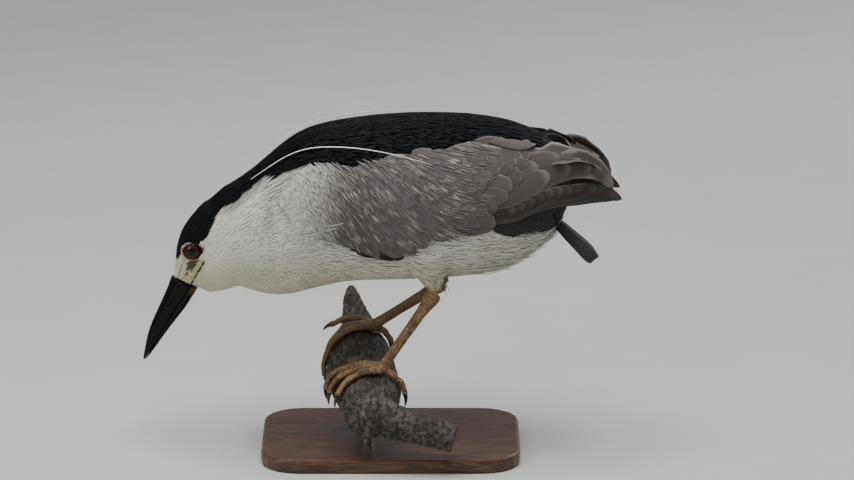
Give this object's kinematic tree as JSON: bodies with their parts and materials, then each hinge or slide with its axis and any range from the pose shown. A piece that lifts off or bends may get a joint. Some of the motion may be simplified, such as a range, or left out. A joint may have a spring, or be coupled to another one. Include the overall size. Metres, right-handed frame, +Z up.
{
  "type": "black-crowned night heron",
  "caption": "Life-size adult black-crowned night heron stooping to strike, gripping a cut branch on a flat wooden display base.",
  "frame": {"origin": "centre of the display base's underside", "axes": "the bird faces -X, its left side is towards -Y, +Z is up"},
  "size_m": [0.4165, 0.1955, 0.3018],
  "materials": {
    "body_feathers": "soft feathers, black above and off-white below",
    "wing_feathers": "soft grey feathers",
    "tail_feathers": "dark grey feathers",
    "plume": "white feather",
    "bill_horn": "black horn",
    "claw_horn": "dark horn",
    "eye": "red iris under a clear cornea",
    "leg_skin": "scaled yellow-tan skin",
    "bark": "weathered bark",
    "base_wood": "dark oiled wood",
    "rod_steel": "brushed"
  },
  "bodies": {
    "root": {"bill_lower": "bill_horn", "bill_upper": "bill_horn", "claw_left_hind": "claw_horn", "claw_left_inner": "claw_horn", "claw_left_middle": "claw_horn", "claw_left_outer": "claw_horn", "claw_right_hind": "claw_horn", "claw_right_inner": "claw_horn", "claw_right_middle": "claw_horn", "claw_right_outer": "claw_horn", "eye_left": "eye", "eye_right": "eye", "foot_left": "leg_skin", "foot_right": "leg_skin", "head": "body_feathers", "neck": "body_feathers", "perch": "bark", "plume_left": "plume", "plume_right": "plume", "plume_top": "plume", "shank_left": "leg_skin", "shank_right": "leg_skin", "stand_base": "base_wood", "stand_rod_1": "rod_steel", "stand_rod_2": "rod_steel", "tail": "tail_feathers", "thigh_left": "body_feathers", "thigh_right": "body_feathers", "trunk": "body_feathers", "wing_left": "wing_feathers", "wing_right": "wing_feathers"}
  },
  "joints": []
}
